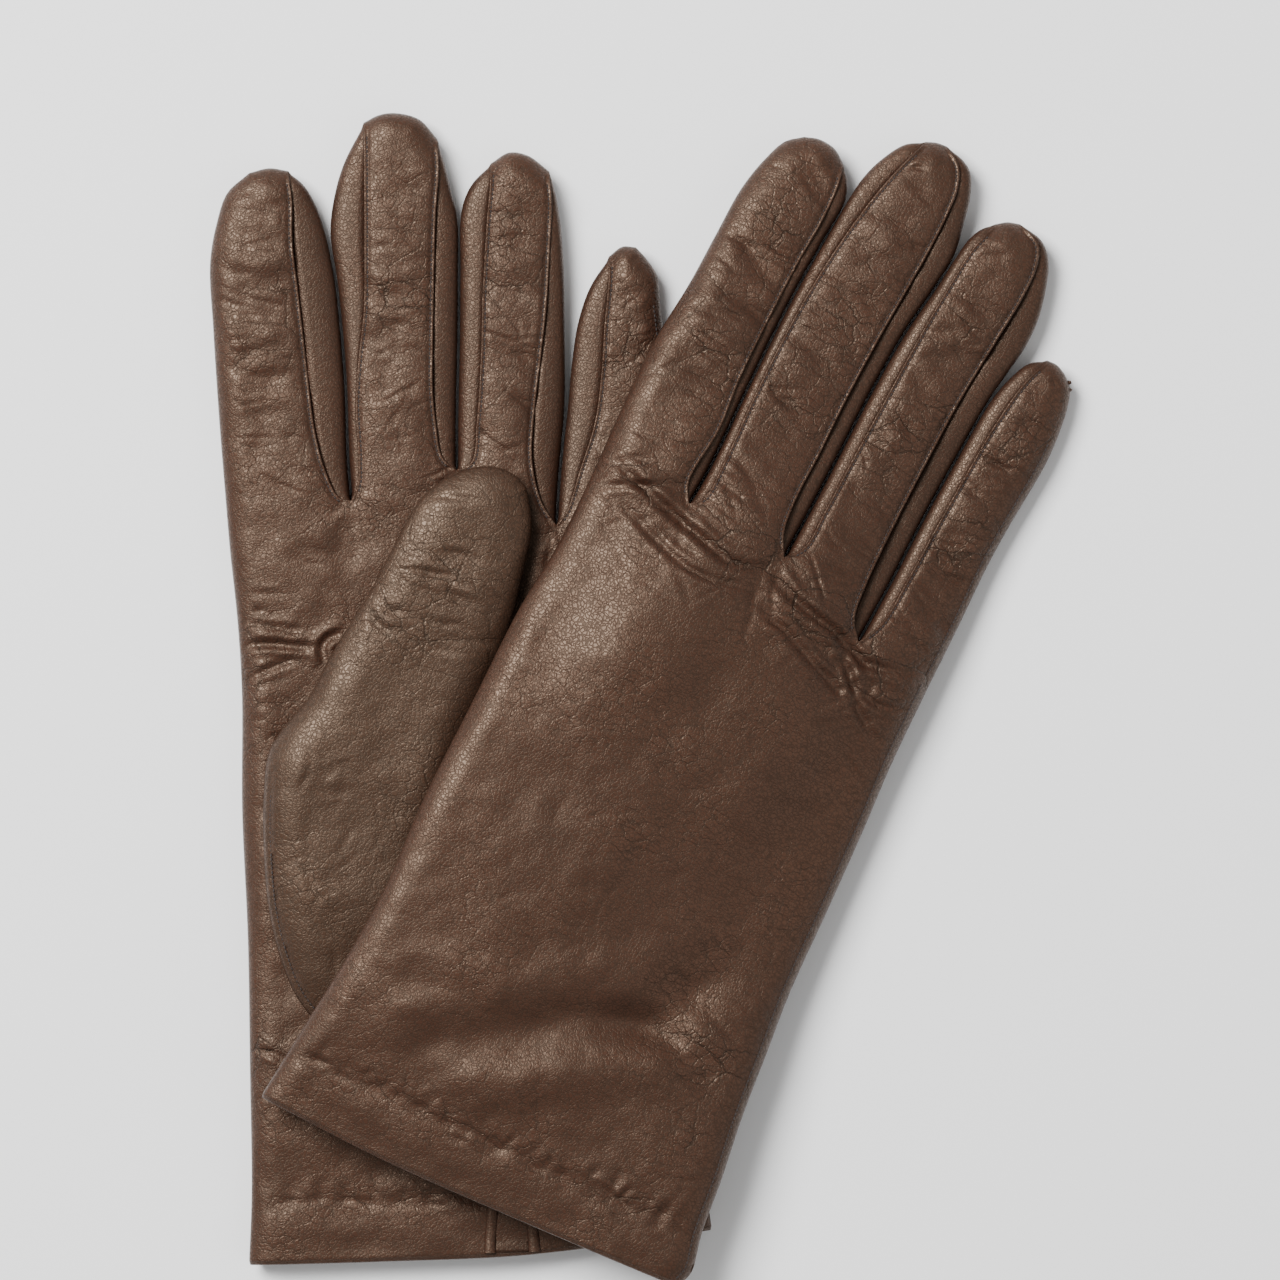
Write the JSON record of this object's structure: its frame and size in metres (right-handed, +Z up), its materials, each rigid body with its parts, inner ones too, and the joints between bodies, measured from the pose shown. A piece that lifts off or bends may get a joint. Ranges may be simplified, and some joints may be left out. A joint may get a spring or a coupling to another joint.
{
  "type": "pair of leather gloves",
  "caption": "Pair of lined brown leather dress gloves laid flat, the right glove back up across the left glove, which lies palm up with its thumb folded in.",
  "frame": {"origin": "on the surface the gloves lie on, under the middle of the pair's overall box", "axes": "+Z up from the surface, +Y from the left glove's cuff towards its fingertips, +X to the right as the pair is seen from above"},
  "size_m": [0.186, 0.2502, 0.0264],
  "materials": {
    "leather": "smooth nappa, soft sheen",
    "fourchette_leather": "smooth nappa, soft sheen",
    "thumb_leather": "smooth nappa, soft sheen",
    "vent_leather": "smooth nappa",
    "binding": "rolled edge binding",
    "lining": "fine knit, matt",
    "thread": "fine dark thread"
  },
  "bodies": {
    "left_hand": {"left_hand_lining": "lining", "left_little_fourchette": "fourchette_leather", "left_little_lining": "lining", "left_little_seams": "thread", "left_little_stall": "leather", "left_outseam": "thread", "left_thumb": "thumb_leather", "left_thumb_lining": "lining", "left_thumb_seam": "thread", "left_trank": "leather", "left_vent_bindings": "binding", "left_vent_panel": "vent_leather"},
    "left_index": {"left_index_fourchette": "fourchette_leather", "left_index_lining": "lining", "left_index_seams": "thread", "left_index_stall": "leather"},
    "left_middle": {"left_middle_index_fourchette": "fourchette_leather", "left_middle_lining": "lining", "left_middle_little_fourchette": "fourchette_leather", "left_middle_seams": "thread", "left_middle_stall": "leather"},
    "left_ring": {"left_ring_index_fourchette": "fourchette_leather", "left_ring_lining": "lining", "left_ring_little_fourchette": "fourchette_leather", "left_ring_seams": "thread", "left_ring_stall": "leather"},
    "left_little_tip": {"left_little_tip_fourchette": "fourchette_leather", "left_little_tip_lining": "lining", "left_little_tip_seams": "thread", "left_little_tip_stall": "leather"},
    "left_thumb_tip": {"left_thumb_tip": "thumb_leather", "left_thumb_tip_lining": "lining"},
    "right_hand": {"right_hand_lining": "lining", "right_outseam": "thread", "right_thumb": "thumb_leather", "right_thumb_lining": "lining", "right_thumb_seam": "thread", "right_trank": "leather", "right_vent_bindings": "binding", "right_vent_panel": "vent_leather"},
    "right_index": {"right_index_fourchette": "fourchette_leather", "right_index_lining": "lining", "right_index_seams": "thread", "right_index_stall": "leather"},
    "right_middle": {"right_middle_index_fourchette": "fourchette_leather", "right_middle_lining": "lining", "right_middle_little_fourchette": "fourchette_leather", "right_middle_seams": "thread", "right_middle_stall": "leather"},
    "right_ring": {"right_ring_index_fourchette": "fourchette_leather", "right_ring_lining": "lining", "right_ring_little_fourchette": "fourchette_leather", "right_ring_seams": "thread", "right_ring_stall": "leather"},
    "right_little": {"right_little_fourchette": "fourchette_leather", "right_little_lining": "lining", "right_little_seams": "thread", "right_little_stall": "leather"}
  },
  "joints": [
    {"name": "left_index_bend", "type": "hinge", "parent": "left_hand", "child": "left_index", "pos_m": [-0.07707, 0.04916, 0.0094], "axis": [0.9977, 0.068, 0], "range_deg": [0, 70]},
    {"name": "left_middle_bend", "type": "hinge", "parent": "left_hand", "child": "left_middle", "pos_m": [-0.05203, 0.05582, 0.0094], "axis": [0.9998, 0.0175, 0], "range_deg": [0, 70]},
    {"name": "left_ring_bend", "type": "hinge", "parent": "left_hand", "child": "left_ring", "pos_m": [-0.02902, 0.05542, 0.0094], "axis": [0.9999, -0.0157, 0], "range_deg": [0, 70]},
    {"name": "left_little_bend", "type": "hinge", "parent": "left_hand", "child": "left_little_tip", "pos_m": [-0.00421, 0.07948, 0.0094], "axis": [0.9987, -0.0506, 0], "range_deg": [0, 60]},
    {"name": "left_thumb_bend", "type": "hinge", "parent": "left_hand", "child": "left_thumb_tip", "pos_m": [-0.03988, 0.02713, 0.01665], "axis": [0.9239, -0.3827, 0], "range_deg": [0, 55]},
    {"name": "right_glove_lift", "type": "slide", "parent": "left_hand", "child": "right_hand", "axis": [0, 0, 1], "range_m": [0, 0.08]},
    {"name": "right_index_bend", "type": "hinge", "parent": "right_hand", "child": "right_index", "pos_m": [0.00415, 0.055, 0.02069], "axis": [0.8846, -0.4664, 0], "range_deg": [0, 50]},
    {"name": "right_middle_bend", "type": "hinge", "parent": "right_hand", "child": "right_middle", "pos_m": [0.02471, 0.04473, 0.01676], "axis": [0.8821, -0.471, 0], "range_deg": [0, 50]},
    {"name": "right_ring_bend", "type": "hinge", "parent": "right_hand", "child": "right_ring", "pos_m": [0.04485, 0.0328, 0.01379], "axis": [0.8721, -0.4894, 0], "range_deg": [0, 50]},
    {"name": "right_little_bend", "type": "hinge", "parent": "right_hand", "child": "right_little", "pos_m": [0.05838, 0.01572, 0.0112], "axis": [0.878, -0.4787, 0], "range_deg": [0, 50]}
  ]
}
